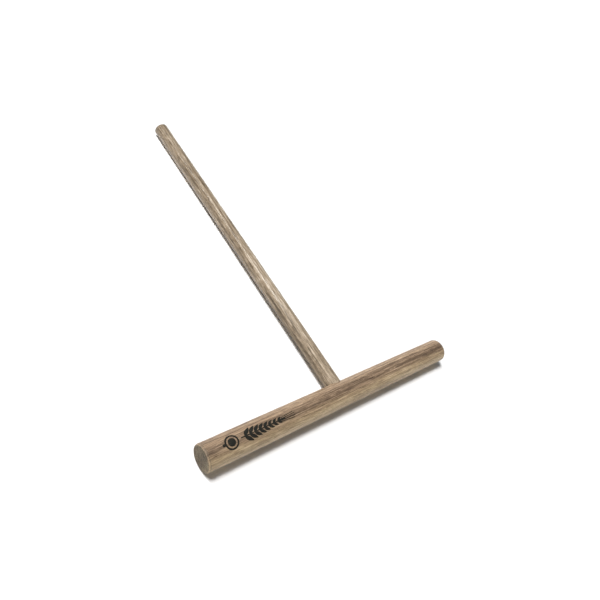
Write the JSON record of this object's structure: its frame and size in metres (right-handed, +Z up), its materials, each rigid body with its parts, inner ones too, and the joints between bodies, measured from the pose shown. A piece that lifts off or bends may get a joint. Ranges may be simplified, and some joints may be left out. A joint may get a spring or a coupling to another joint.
{
  "type": "crepe spreader",
  "caption": "T-shaped wooden crepe spreader lying flat: a round bar that spreads batter, and a thinner round handle glued into a blind socket at the bar's middle.",
  "frame": {"origin": "on the table that the tool lies on, under the middle of the tool's bounding box", "axes": "+X along the bar, +Y from the bar towards the handle's free end, +Z up from the table"},
  "size_m": [0.18, 0.2412, 0.0145],
  "materials": {
    "bar_wood": "satin",
    "handle_wood": "satin",
    "wood_glue": "satin",
    "mark_ink": "matte"
  },
  "bodies": {
    "root": {"spreader_bar": "bar_wood", "handle": "handle_wood", "glue_line": "wood_glue"}
  },
  "joints": []
}
